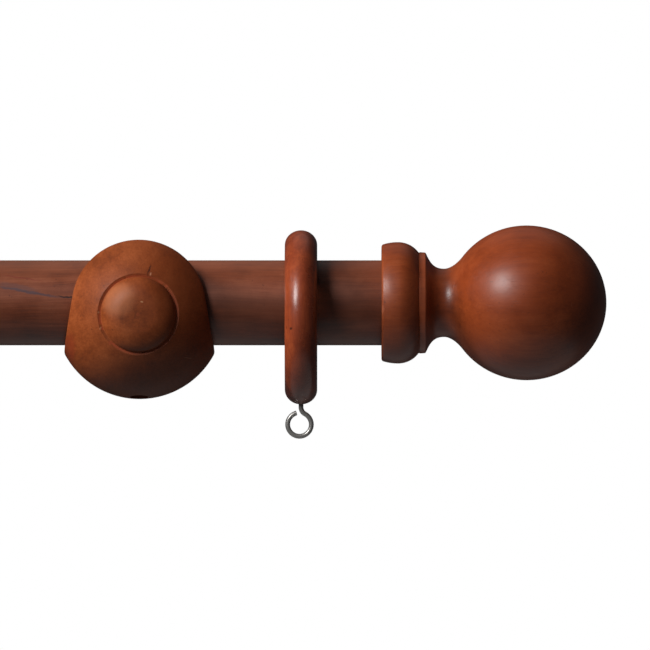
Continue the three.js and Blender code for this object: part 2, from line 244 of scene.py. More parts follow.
def turn(name: str, outline: Outline, origin: Vector, axis: Vector, segments: int = 128) -> bpy.types.Object:
    """Turns an outline round an axis, as on a lathe.

    Args:
        name: The new piece's name.
        outline: The half section.
        origin: The point of the axis that the outline's distances are counted from.
        axis: The axis's direction.
        segments: Number of flats round the piece.

    Returns:
        The turned piece.
    """
    side = axis.orthogonal().normalized()
    places = [origin + (side * radius + axis * along) * MM for radius, along in outline.points]
    bpy.ops.object.select_all(action="DESELECT")
    bpy.ops.mesh.primitive_plane_add(size=MM)
    piece = bpy.context.object
    piece.name = piece.data.name = name
    bpy.ops.object.mode_set(mode="EDIT")
    bpy.ops.mesh.select_all(action="SELECT")
    bpy.ops.mesh.merge(type="CENTER")
    bpy.ops.transform.translate(value=places[0])
    for here, there in zip(places, places[1:]):
        bpy.ops.mesh.extrude_region_move(TRANSFORM_OT_translate={"value": there - here})
    bpy.ops.mesh.select_all(action="SELECT")
    bpy.ops.mesh.spin(steps=segments, angle=FULL_TURN, center=origin, axis=axis, use_auto_merge=True)
    bpy.ops.object.mode_set(mode="OBJECT")
    close_up(piece)
    return piece


def apply_modifier(piece: bpy.types.Object, kind: str, **settings: object) -> None:
    """Adds a modifier to a piece and applies it at once.

    Args:
        piece: The piece.
        kind: The modifier's type.
        settings: The modifier's values.
    """
    only(piece)
    bpy.ops.object.modifier_add(type=kind)
    modifier = piece.modifiers[-1]
    for key, value in settings.items():
        setattr(modifier, key, value)
    bpy.ops.object.modifier_apply(modifier=modifier.name)


def basic(make: Callable[..., object], **settings: object) -> bpy.types.Object:
    """Makes a basic shape and puts its place, turn and scale into its mesh.

    Args:
        make: Blender's tool for the shape.
        settings: The tool's values.

    Returns:
        The shape.
    """
    bpy.ops.object.select_all(action="DESELECT")
    make(**settings)
    shape = bpy.context.object
    only(shape)
    bpy.ops.object.transform_apply(location=True, rotation=True, scale=True)
    return shape


def combine(piece: bpy.types.Object, tool: bpy.types.Object, joining: Joining) -> None:
    """Cuts a tool's shape out of a piece, or adds it on, and removes the tool."""
    apply_modifier(piece, "BOOLEAN", object=tool, operation=joining.value, solver="EXACT")
    bpy.data.objects.remove(tool)


def copied(source: bpy.types.Object, name: str, change: Matrix) -> bpy.types.Object:
    """Copies a piece with its own mesh.

    Args:
        source: The piece that was modelled.
        name: The copy's name.
        change: How the copy's mesh is moved or turned.

    Returns:
        The copy.
    """
    twin = source.copy()
    twin.data = source.data.copy()
    twin.name = twin.data.name = name
    twin.data.transform(change)
    bpy.context.scene.collection.objects.link(twin)
    return twin


@dataclass(frozen=True)
class Thread:
    """A screw thread that is wound onto a turned shank.

    Attributes:
        pitch: Distance from turn to turn, in millimetres.
        depth: How deep the thread is cut, in millimetres.
        start: Where the thread starts along the axis, in millimetres.
        end: Where it ends.
    """

    pitch: float
    depth: float
    start: float
    end: float

    def wind(self, piece: bpy.types.Object, origin: Vector, axis: Vector) -> None:
        """Draws the shank's surface in between the thread's turns.

        Args:
            piece: The turned shank, closely divided along its length.
            origin: The point of the axis that distances are counted from.
            axis: The axis's direction.
        """
        side = axis.orthogonal().normalized()
        across = axis.cross(side)
        for vertex in piece.data.vertices:
            from_origin = (vertex.co - origin) / MM
            along = from_origin.dot(axis)
            out = from_origin - axis * along
            if out.length < 2 * self.depth or not self.start < along < self.end:
                continue
            angle = math.atan2(out.dot(across), out.dot(side))
            phase = (along / self.pitch - angle / FULL_TURN) % 1
            valley = abs(2 * phase - 1) ** 1.4
            fade = min(1, (along - self.start) / self.pitch, (self.end - along) / self.pitch)
            vertex.co -= out.normalized() * (self.depth * valley * fade * MM)


# ---- finishes -----------------------------------------------------------------------------------


class Graph:
    """Wires the nodes of one material round its surface shader."""

    def __init__(self, name: str) -> None:
        """Starts a material with only a surface shader.

        Args:
            name: The material's name.
        """
        self.material = bpy.data.materials.new(name)
        self.material.use_nodes = True
        self.tree = self.material.node_tree
        self.tree.nodes.clear()
        self.shader = self.add("ShaderNodeBsdfPrincipled")
        self.add("ShaderNodeOutputMaterial", {"Surface": self.shader.outputs["BSDF"]})

    def add(self, kind: str, inputs: dict | None = None, **settings: object) -> bpy.types.Node:
        """Adds a node.

        Args:
            kind: The node's type.
            inputs: For each input, by name or number, its value or the socket it is linked to.
            settings: The node's own settings.

        Returns:
            The node.
        """
        node = self.tree.nodes.new(kind)
        for key, value in settings.items():
            setattr(node, key, value)
        for key, value in (inputs or {}).items():
            if isinstance(value, bpy.types.NodeSocket):
                self.tree.links.new(value, node.inputs[key])
            else:
                node.inputs[key].default_value = value
        return node

    def place(self) -> bpy.types.NodeSocket:
        return self.add("ShaderNodeTexCoord").outputs["Object"]

    def math(self, operation: str, *values: object) -> bpy.types.NodeSocket:
        """Gives the result of a sum on values or sockets."""
        return self.add("ShaderNodeMath", dict(enumerate(values)), operation=operation).outputs[0]

    def noise(
        self, place: bpy.types.NodeSocket, scale: float, detail: float = 3, roughness: float = 0.5
    ) -> bpy.types.Node:
        """Adds a noise texture.

        Args:
            place: The point that it is read at.
            scale: Features per metre.
            detail: Number of finer layers.
            roughness: How strong the finer layers are.

        Returns:
            The noise node.
        """
        inputs = {"Vector": place, "Scale": scale, "Detail": detail, "Roughness": roughness}
        return self.add("ShaderNodeTexNoise", inputs)

    def shifted(
        self, place: bpy.types.NodeSocket, noise: bpy.types.Node, reach: float
    ) -> bpy.types.NodeSocket:
        """Moves a point to and fro by a noise.

        Args:
            place: The point.
            noise: The noise whose colour says which way it moves.
            reach: How far it moves, in metres.

        Returns:
            The moved point.
        """
        halves = {0: noise.outputs["Color"], 1: (0.5, 0.5, 0.5)}
        centred = self.add("ShaderNodeVectorMath", halves, operation="SUBTRACT").outputs[0]
        inputs = {0: centred, 1: (reach, reach, reach), 2: place}
        return self.add("ShaderNodeVectorMath", inputs, operation="MULTIPLY_ADD").outputs[0]

    def span(
        self, value: bpy.types.NodeSocket, low: float, high: float, first: float = 0, last: float = 1
    ) -> bpy.types.NodeSocket:
        """Stretches part of a value's range smoothly over a new range.

        Args:
            value: The value.
            low: Where the part starts.
            high: Where the part ends.
            first: What its start becomes.
            last: What its end becomes.

        Returns:
            The new value.
        """
        inputs = {"Value": value, "From Min": low, "From Max": high, "To Min": first, "To Max": last}
        return self.add("ShaderNodeMapRange", inputs, interpolation_type="SMOOTHSTEP").outputs[0]

    def blend(self, share: object, below: object, above: object) -> bpy.types.NodeSocket:
        """Lays one colour over another.

        Args:
            share: How much of the upper colour shows.
            below: The lower colour.
            above: The upper colour.

        Returns:
            The blended colour.
        """
        colours = [(*colour, 1) if isinstance(colour, tuple) else colour for colour in (below, above)]
        inputs = {0: share, 6: colours[0], 7: colours[1]}
        return self.add("ShaderNodeMix", inputs, data_type="RGBA").outputs[2]

    def between(self, share: object, below: object, above: object) -> bpy.types.NodeSocket:
        """Mixes two values."""
        return self.add("ShaderNodeMix", {0: share, 2: below, 3: above}, data_type="FLOAT").outputs[0]

    def ramp(
        self, value: bpy.types.NodeSocket, stops: Sequence[tuple[float, Colour]]
    ) -> bpy.types.NodeSocket:
        """Colours a value.

        Args:
            value: The value.
            stops: The colours and where they lie in the value's range.

        Returns:
            The colour.
        """
        node = self.add("ShaderNodeValToRGB", {0: value})
        elements = node.color_ramp.elements
        while len(elements) < len(stops):
            elements.new(0.5)
        for element, (position, colour) in zip(elements, stops):
            element.position = position
            element.color = (*colour, 1)
        return node.outputs[0]


# Features per metre in the wood's pattern, from the widest to the finest.
DRIFT_SCALE = 16
FLUSH_SCALE = 22
CLOUD_SCALE = 75
STREAK_SCALE = 320
WAVER_SCALE = 420
SPECK_SCALE = 900
FIBRE_SCALE = 1500
DUST_SCALE = 2400
PORE_SCALE = 2900
FIBRE_BEND = 0.007  # how far the fibres wander, in metres
MARK_WAVER = 0.0012  # how far a mark's edge wanders, in metres


class Grain(Enum):
    """Which way a piece's fibres run, as the scale of its pattern along X, Y and Z."""

    ALONG_POLE = (0.035, 1.0, 1.0)
    OUT_OF_WALL = (1.0, 0.05, 1.0)
    UPRIGHT = (1.0, 1.0, 0.04)


@dataclass(frozen=True)
class MarkAndPaintedLight:
    """A small mark on a wooden surface, or a patch where light or shade is painted into the colour.

    Attributes:
        name: What it is.
        reach: Its half lengths along X, Y and Z before it is tilted, in millimetres.
        tilt: Its turn about Y, in degrees.
        colour: What shows in it.
        strength: How much of that colour shows.
        depth: How deep it looks, from -1 for a hollow to 1 for a bump.
    """

    name: str
    centre: Triple
    reach: Triple
    tilt: float
    colour: Colour
    strength: float = 0.8
    depth: float = -0.6

    def mask(self, graph: Graph, place: bpy.types.NodeSocket) -> bpy.types.NodeSocket:
        """Gives 1 in the middle of the mark or painted patch and 0 outside it.

        Args:
            graph: The material's graph.
            place: The surface point, slightly unsettled so that the mark's edge is uneven.

        Returns:
            The mask.
        """
        inputs = {
            "Vector": place,
            "Location": [value * MM for value in self.centre],
            "Rotation": (0, math.radians(self.tilt), 0),
            "Scale": [value * MM for value in self.reach],
        }
        local = graph.add("ShaderNodeMapping", inputs, vector_type="TEXTURE").outputs[0]
        length = graph.add("ShaderNodeVectorMath", {0: local}, operation="LENGTH").outputs["Value"]
        return graph.span(length, 1.0, 0.45)


@dataclass(frozen=True)
class WoodFinish:
    """Stained hardwood under a satin lacquer.

    Attributes:
        name: The material's name.
        grain: Which way the fibres run.
        dark: The stain where it took most.
        middle: The stain's main colour.
        light: The stain where it took least.
        flush: The redder tone that drifts over large areas.
        rubbed: The colour of rubbed arrises.
        roughness: The lacquer's roughness.
        coat: How much clear gloss lies on top.
        specular: How strongly the wood itself shines.
        grain_strength: How strongly the fibres show in colour.
        marks_and_painted_light: Small marks of this piece, and patches where light or shade is painted on
            it.
    """

    name: str
    grain: Grain
    dark: Colour
    middle: Colour
    light: Colour
    flush: Colour
    rubbed: Colour
    roughness: float = 0.42
    coat: float = 0.25
    specular: float = 0.5
    grain_strength: float = 0.5
    marks_and_painted_light: tuple[MarkAndPaintedLight, ...] = ()

    def material(self) -> bpy.types.Material:
        """Makes the wood from its fibres, its stain, its marks and its patches of painted light and shade.

        Returns:
            The material.
        """
        graph = Graph(self.name)
        place = graph.place()
        cloud = graph.noise(place, CLOUD_SCALE, 5, 0.58).outputs[0]
        lines, pore = self._fibres(graph, place)
        colour = self._stain(graph, place, lines, pore, cloud)
        height = graph.math("MULTIPLY_ADD", pore, -0.7, graph.math("MULTIPLY", lines, 0.6))
        # Each entry is a real mark or a patch of painted light or shade, laid over the colour and the
        # height.
        for mark_and_light in self.marks_and_painted_light:
            mask = mark_and_light.mask(graph, self._uneven(graph, place))
            share = graph.math("MULTIPLY", mask, mark_and_light.strength)
            colour = graph.blend(share, colour, mark_and_light.colour)
            height = graph.math("MULTIPLY_ADD", mask, mark_and_light.depth, height)
        rough = graph.math("MULTIPLY_ADD", graph.math("SUBTRACT", cloud, 0.5), 0.3, self.roughness)
        rough = graph.math("MULTIPLY_ADD", pore, 0.12, rough)
        bump = graph.add("ShaderNodeBump", {"Strength": 0.3, "Distance": 0.00012, "Height": height})
        shader = graph.shader
        shader.inputs["Specular IOR Level"].default_value = self.specular
        shader.inputs["Coat Weight"].default_value = self.coat
        shader.inputs["Coat Roughness"].default_value = 0.3
        graph.tree.links.new(colour, shader.inputs["Base Color"])
        graph.tree.links.new(rough, shader.inputs["Roughness"])
        graph.tree.links.new(bump.outputs[0], shader.inputs["Normal"])
        return graph.material

    def _fibres(
        self, graph: Graph, place: bpy.types.NodeSocket
    ) -> tuple[bpy.types.NodeSocket, bpy.types.NodeSocket]:
        """Draws the fibres and the open pores between them along the grain.

        Args:
            graph: The material's graph.
            place: The surface point.

        Returns:
            The fibres' lines and the pores.
        """
        bent = graph.shifted(place, graph.noise(place, DRIFT_SCALE, 3), FIBRE_BEND)
        grained = graph.add("ShaderNodeMapping", {"Vector": bent, "Scale": self.grain.value}).outputs[0]
        fibre = graph.noise(grained, FIBRE_SCALE, 5, 0.62).outputs[0]
        streak = graph.noise(grained, STREAK_SCALE, 4, 0.6).outputs[0]
        pore = graph.span(graph.noise(grained, PORE_SCALE, 2, 0.5).outputs[0], 0.62, 0.74)
        return graph.between(self.grain_strength, streak, fibre), pore

    def _stain(
        self,
        graph: Graph,
        place: bpy.types.NodeSocket,
        lines: bpy.types.NodeSocket,
        pore: bpy.types.NodeSocket,
        cloud: bpy.types.NodeSocket,
    ) -> bpy.types.NodeSocket:
        """Colours the wood: stain, redder areas, dark pores and specks, dust and rubbed arrises.

        Args:
            graph: The material's graph.
            place: The surface point.
            lines: The fibres' lines.
            pore: The pores.
            cloud: The uneven take-up of the stain.

        Returns:
            The colour.
        """
        tone = graph.between(0.42, lines, cloud)
        colour = graph.ramp(tone, [(0.34, self.dark), (0.5, self.middle), (0.66, self.light)])
        large = graph.span(graph.noise(place, FLUSH_SCALE, 3, 0.5).outputs[0], 0.4, 0.7, 0, 0.55)
        colour = graph.blend(large, colour, self.flush)
        speck = graph.span(graph.noise(place, SPECK_SCALE, 1, 0.4).outputs[0], 0.745, 0.79)
        dust = graph.span(graph.noise(place, DUST_SCALE, 2, 0.6).outputs[0], 0.6, 0.74)
        arris = graph.add("ShaderNodeNewGeometry").outputs["Pointiness"]
        patchy = graph.span(cloud, 0.35, 0.6, 0.3, 1)
        rubbed = graph.math("MULTIPLY", graph.span(arris, 0.515, 0.56), patchy)
        layers = (
            (pore, 0.45, self.dark),
            (speck, 0.7, self.dark),
            (dust, 0.3, self.rubbed),
            (rubbed, 0.75, self.rubbed),
        )
        for mask, strength, tint in layers:
            colour = graph.blend(graph.math("MULTIPLY", mask, strength), colour, tint)
        return colour

    @staticmethod
    def _uneven(graph: Graph, place: bpy.types.NodeSocket) -> bpy.types.NodeSocket:
        """Gives the surface point shifted a fraction of a millimetre to and fro."""
        return graph.shifted(place, graph.noise(place, WAVER_SCALE, 3, 0.6), MARK_WAVER)


@dataclass(frozen=True)
class MetalFinish:
    """Plated or bare metal with fine scratches and a little tarnish.

    Attributes:
        name: The material's name.
        colour: The clean metal's colour.
        tarnish: The colour of the dull patches.
        roughness: The clean metal's roughness.
        scratches: How strongly the scratches show.
        metallic: How metallic it looks under its skin of oxide.
    """

    name: str
    colour: Colour
    tarnish: Colour
    roughness: float
    scratches: float = 0.3
    metallic: float = 1.0

    def material(self) -> bpy.types.Material:
        """Makes the metal.

        Returns:
            The material.
        """
        graph = Graph(self.name)
        place = graph.place()
        cloud = graph.noise(place, 240, 5, 0.62).outputs[0]
        drawn = graph.add("ShaderNodeMapping", {"Vector": place, "Scale": (1, 0.2, 0.12)})
        scratch = graph.noise(drawn.outputs[0], 5200, 3, 0.6).outputs[0]
        dull = graph.span(cloud, 0.45, 0.72)
        colour = graph.blend(graph.math("MULTIPLY", dull, 0.6), self.colour, self.tarnish)
        rough = graph.math("MULTIPLY_ADD", dull, 0.18, self.roughness)
        rough = graph.math("MULTIPLY_ADD", graph.math("SUBTRACT", scratch, 0.5), self.scratches, rough)
        bump = graph.add("ShaderNodeBump", {"Strength": 0.15, "Distance": 0.00003, "Height": scratch})
        shader = graph.shader
        shader.inputs["Metallic"].default_value = self.metallic
        graph.tree.links.new(colour, shader.inputs["Base Color"])
        graph.tree.links.new(rough, shader.inputs["Roughness"])
        graph.tree.links.new(bump.outputs[0], shader.inputs["Normal"])
        return graph.material



@dataclass(frozen=True)
class Slot:
    """A record slot and the material that its pieces wear."""

    name: str
    material: bpy.types.Material


def dress(piece: bpy.types.Object, slot: Slot, body: str, node: str, crease: float = 32) -> None:
    """Smooths a finished piece, gives it its finish and lets it ride in place of its node.

    Args:
        piece: The piece.
        slot: Its finish.
        body: The body that it moves with.
        node: The node that it stands for.
        crease: Angle in degrees past which an edge stays sharp.
    """
    only(piece)
    bpy.ops.object.shade_smooth_by_angle(angle=math.radians(crease))
    piece.data.materials.clear()
    piece.data.materials.append(slot.material)
    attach(piece, body)
    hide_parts(node)
    LOG.info("%s rides on %s: %d faces", piece.name, body, len(piece.data.polygons))


def dress_copies(
    pattern: bpy.types.Object,
    slot: Slot,
    places: Sequence[tuple[str, str, str, Matrix]],
    crease: float = 32,
) -> None:
    """Dresses a copy of a piece in each of its places and removes the piece itself.

    Args:
        pattern: The piece that was modelled.
        slot: Its finish.
        places: Each copy's name, the body and node it stands for, and how its mesh is moved.
        crease: Angle in degrees past which an edge stays sharp.
    """
    for name, body, node, change in places:
        dress(copied(pattern, name, change), slot, body, node, crease)
    bpy.data.objects.remove(pattern)


def cross_recess(name: str, origin: Vector, axis: Vector, span: float, depth: float) -> bpy.types.Object:
    """Makes the tool that cuts a cross into a screw's head.

    Args:
        name: The tool's name.
        origin: The middle of the head's face.
        axis: The direction out of the head.
        span: The cross's width in millimetres.
        depth: The cross's depth in millimetres.

    Returns:
        The tool.
    """
    arms = []
    arm_width = span * 0.24
    taper = 0.62
    for length, width in ((span, arm_width), (arm_width, span)):
        size = Vector((length, width, 2 * depth)) * MM
        arm = basic(bpy.ops.mesh.primitive_cube_add, size=1, scale=size)
        edit_points(arm, lambda place: place.z < 0)
        bpy.ops.transform.resize(value=(taper, taper, 1), center_override=(0, 0, 0))
        bpy.ops.object.mode_set(mode="OBJECT")
        arms.append(arm)
    combine(arms[0], arms[1], Joining.ADD)
    turn_to_axis = axis.to_track_quat("Z", "Y").to_matrix().to_4x4()
    arms[0].data.transform(Matrix.Translation(origin) @ turn_to_axis)
    arms[0].name = name
    return arms[0]


@dataclass
class Pole:
    """The round wooden pole, with a pilot hole in each end and a hole under it at each bracket."""

    places: Places
    slope: Vector
    end_round: float = 0.7
    pilot_radius: float = 2.8
    pilot_depth: float = 24.3
    lock_hole_radius: float = 2.05
    lock_hole_tip: float = 7.5
    stations: int = 36

    def build(self) -> bpy.types.Object:
        """Turns the pole and drills it.

        Returns:
            The pole.
        """
        radius = self.places.pole_radius / MM
        length = self.places.pole_length / MM
        outline = Outline().to(0, self.pilot_depth).to(self.pilot_radius, self.pilot_depth)
        outline.to(self.pilot_radius, 0.5).to(self.pilot_radius + 0.5, 0)
        outline.to(radius - self.end_round, 0)
        near = (radius - self.end_round, self.end_round)
        far = (radius - self.end_round, length - self.end_round)
        reach = (self.end_round, self.end_round)
        outline.arc(near, reach, -math.pi / 2, 0, parts=4)
        outline.to(radius, length - self.end_round, parts=self.stations)
        outline.arc(far, reach, 0, math.pi / 2, parts=4)
        outline.to(self.pilot_radius + 0.5, length).to(self.pilot_radius, length - 0.5)
        outline.to(self.pilot_radius, length - self.pilot_depth).to(0, length - self.pilot_depth)
        start = self.places.on_pole(self.places.pole_centre.x - self.places.pole_length / 2)
        pole = turn("wooden_pole", outline, start, Vector((1, 0, 0)))
        for side, x in self.places.brackets.items():
            bore = Outline().to(0, self.lock_hole_tip).to(self.lock_hole_radius, self.lock_hole_tip + 1)
            bore.to(self.lock_hole_radius, radius + 2).to(0, radius + 2)
            drill = turn(f"drill_{side}", bore, self.places.on_pole(x), -self.slope, segments=24)
            combine(pole, drill, Joining.CUT)
        return pole

    def dress(self, slot: Slot) -> None:
        """Builds the pole and gives it its finish."""
        dress(self.build(), slot, "pole", "pole", crease=25)


@dataclass
class Bracket:
    """The turned wooden bracket: wall flange, neck, and a ball head with the pole's cradle across it."""

    places: Places
    slope: Vector
    projection: float = 70.0
    head_radius: float = 27.9
    cradle_radius: float = 14.4
    arris: float = 3.0
    neck_radius: float = 11.2
    blend_radius: float = 14.0
    joint_along: float = 36.0
    flange_radius: float = 22.0
    flange_end: float = 9.0
    bead_radius: float = 17.2
    plate_seat_radius: float = 18.3
    plate_seat_depth: float = 3.2
    insert_radius: float = 5.0
    insert_depth: float = 20.0
    cell: float = 0.55
    button_radius: float = 12.35
    groove_radius: float = 12.45
    groove_floor: float = 94.3
    lock_seat: float = 24.5
    lock_head: float = 2.7
    lock_hole_radius: float = 2.05
    counterbore_radius: float = 3.0

    @property
    def blend_angle(self) -> float:
        """Angle on the ball at which the neck's hollow runs into it."""
        return -math.acos(self.blend_radius / self.head_radius)

    def neck_outline(self, start: Outline) -> Outline:
        """Draws the neck's straight and its hollow up to the ball."""
        blend_along = self.projection + self.head_radius * math.sin(self.blend_angle)
        start.to(self.neck_radius, self.joint_along, parts=6)
        return start.curve((self.neck_radius, 41), (11.5, 44.4), (self.blend_radius, blend_along), parts=14)

    def base(self) -> bpy.types.Object:
        """Turns the flange and the start of the neck, open where the head's neck meets it."""
        flange = self.flange_radius
        shoulder = self.plate_seat_radius
        end = self.flange_end
        bead = self.bead_radius
        outline = Outline().to(0, self.insert_depth).to(self.insert_radius, self.insert_depth)
        outline.to(self.insert_radius, self.plate_seat_depth).to(shoulder, self.plate_seat_depth)
        outline.to(shoulder, 0.3).to(shoulder + 0.3, 0)
        outline.to(flange - 0.9, 0).curve((flange - 0.2, 0), (flange, 0.3), (flange, 0.9), parts=4)
        outline.to(flange, 4.2).curve((flange, 6.6), (flange - 1.6, end), (shoulder, end), parts=10)
        outline.to(bead + 0.3, end).curve((bead, end), (bead, end + 0.3), parts=3)
        outline.to(bead, end + 1.5).curve((bead, end + 1.8), (bead - 0.3, end + 1.9), parts=3)
        outline.curve((14.6, 11.7), (self.neck_radius, 15.5), (self.neck_radius, 24), parts=18)
        outline.to(self.neck_radius, self.joint_along - 1, parts=8)
        return turn("bracket_base", outline, Vector(), OUT_OF_WALL)

    def head_blank(self) -> bpy.types.Object:
        """Turns the solid ball with its neck."""
        outline = Outline().to(0, 31).to(self.neck_radius, 31)
        self.neck_outline(outline)
        outline.arc((0, self.projection), (self.head_radius,) * 2, self.blend_angle, math.pi / 2, parts=40)
        return turn("bracket_head", outline, Vector(), OUT_OF_WALL)

    def cradle_tool(self) -> bpy.types.Object:
        """Makes the U-shaped cutter: a disc drawn out upwards and then along the pole."""
        width = 3 * self.head_radius * MM
        radius = self.cradle_radius * MM
        tool = basic(
            bpy.ops.mesh.primitive_circle_add,
            vertices=64,
            radius=radius,
            fill_type="NGON",
            location=(-width / 2, 0, 0),
            rotation=(0, math.pi / 2, 0),
        )
        edit_points(tool, lambda place: place.z > -1e-6)
        bpy.ops.transform.translate(value=(0, 0, width))
        bpy.ops.mesh.select_all(action="SELECT")
        bpy.ops.mesh.extrude_region_move(TRANSFORM_OT_translate={"value": (width, 0, 0)})
        bpy.ops.object.mode_set(mode="OBJECT")
        close_up(tool)
        lean = math.atan2(self.slope.y, self.slope.z)
        tool.data.transform(Matrix.Translation(self.places.on_pole(0)) @ Matrix.Rotation(-lean, 4, "X"))
        return tool

    def surface(self, points: np.ndarray) -> np.ndarray:
        """Says how far points lie outside the head, its arrises rounded over.

        Args:
            points: The points, in metres, one a row.

        Returns:
            A value that is 0 on the surface and positive outside it, for each point.
        """
        neck = self.neck_outline(Outline().to(self.neck_radius, 20))
        radii, alongs = np.array(neck.points).T
        along = -points[:, 1] / MM
        across = np.hypot(points[:, 0], points[:, 2]) / MM
        from_middle = np.hypot(across, along - self.projection)
        beyond_neck = across - np.interp(along, alongs, radii)
        outside = np.where(along < alongs[-1], beyond_neck, from_middle - self.head_radius)
        from_pole = (points - np.array(self.places.on_pole(0))) / MM
        height = from_pole @ np.array(self.slope)
        over = from_pole @ np.array(self.slope.cross(Vector((1, 0, 0))))
        cradle = np.hypot(over, np.minimum(height, 0)) - self.cradle_radius
        corner = np.hypot(np.maximum(outside + self.arris, 0), np.maximum(self.arris - cradle, 0))
        return np.minimum(-self.arris, np.maximum(outside, -cradle)) + corner

    def settle(self, head: bpy.types.Object) -> None:
        """Draws every point of the roughly rounded head onto its true surface.

        Args:
            head: The head, evenly covered with small faces.
        """
        points = np.zeros(len(head.data.vertices) * 3)
        head.data.vertices.foreach_get("co", points)
        points = points.reshape(-1, 3)
        loose = points[:, 1] < -32 * MM
        step = 0.02
        rounds = 8
        for _ in range(rounds):
            value = self.surface(points)
            slopes = []
            for direction in np.eye(3):
                ahead = self.surface(points + direction * step * MM)
                behind = self.surface(points - direction * step * MM)
                slopes.append((ahead - behind) / (2 * step))
            slope = np.array(slopes).T
            length = np.maximum((slope**2).sum(1), 0.1)
            points -= slope * (value / length * MM * loose)[:, None]
        head.data.vertices.foreach_set("co", points.ravel())
        head.data.update()

    def head(self) -> bpy.types.Object:
        """Makes the head with its cradle, and leaves its neck open at the joint with the base.

        Returns:
            The head.
        """
        head = self.head_blank()
        combine(head, self.cradle_tool(), Joining.CUT)
        apply_modifier(head, "REMESH", mode="VOXEL", voxel_size=self.cell * MM)
        self.settle(head)
        edit_points(head, lambda place: True)
        joint = OUT_OF_WALL * (self.joint_along + 1) * MM
        bpy.ops.mesh.bisect(plane_co=joint, plane_no=OUT_OF_WALL, clear_inner=True, use_fill=False)
        bpy.ops.object.mode_set(mode="OBJECT")
        return head

    def build(self) -> bpy.types.Object:
        """Joins the head to the base, sinks the groove, sets the button and drills for the lock screw.

        Returns:
            The right bracket.
        """
        base = self.base()
        head = self.head()
        only(head, base)
        bpy.ops.object.join()
        only(base)
        bpy.ops.object.mode_set(mode="EDIT")
        bpy.ops.mesh.select_mode(type="EDGE")
        bpy.ops.mesh.select_all(action="DESELECT")
        bpy.ops.mesh.select_non_manifold(
            use_wire=False,
            use_boundary=True,
            use_multi_face=False,
            use_non_contiguous=False,
            use_verts=False,
        )
        bpy.ops.mesh.bridge_edge_loops()
        bpy.ops.object.mode_set(mode="OBJECT")
        close_up(base)
        front = self.projection + self.head_radius
        pocket = Outline().to(0, self.groove_floor).to(self.groove_radius, self.groove_floor)
        pocket.to(self.groove_radius + 1, self.groove_floor + 0.2)
        pocket.to(self.groove_radius + 1, front + 4).to(0, front + 4)
        combine(base, turn("groove", pocket, Vector(), OUT_OF_WALL), Joining.CUT)
        combine(base, self.button(front), Joining.ADD)
        start = self.cradle_radius - 2
        seat = self.lock_seat - self.lock_head
        past_head = 40
        hole = Outline().to(0, start).to(self.lock_hole_radius, start).to(self.lock_hole_radius, seat)
        hole.to(self.counterbore_radius, seat).to(self.counterbore_radius, past_head).to(0, past_head)
        drill = turn("counterbore", hole, self.places.on_pole(0), -self.slope, segments=48)
        combine(base, drill, Joining.CUT)
        return base

    def button(self, front: float) -> bpy.types.Object:
        """Turns the domed button in the middle of the head's front."""
        radius = self.button_radius
        outline = Outline().to(0, self.groove_floor - 1).to(radius, self.groove_floor - 1)
        outline.to(radius, front - 3.6)
        dome = front + 1.98
        brow = (radius - 6.2, front + 1.65)
        outline.curve((radius - 0.05, front - 1.5), (radius - 2.6, front + 0.9), brow, parts=18)
        outline.curve((3.6, dome), (1.5, dome), (0, dome), parts=14)
        return turn("button", outline, Vector(), OUT_OF_WALL)

    def dress(self, slot: Slot) -> None:
        """Builds the bracket once, copies it to each side and gives both their finish."""
        places = [
            (f"turned_bracket_{side}", "wall_brackets", f"bracket_{side}", Matrix.Translation((x, 0, 0)))
            for side, x in self.places.brackets.items()
        ]
        dress_copies(self.build(), slot, places, crease=30)


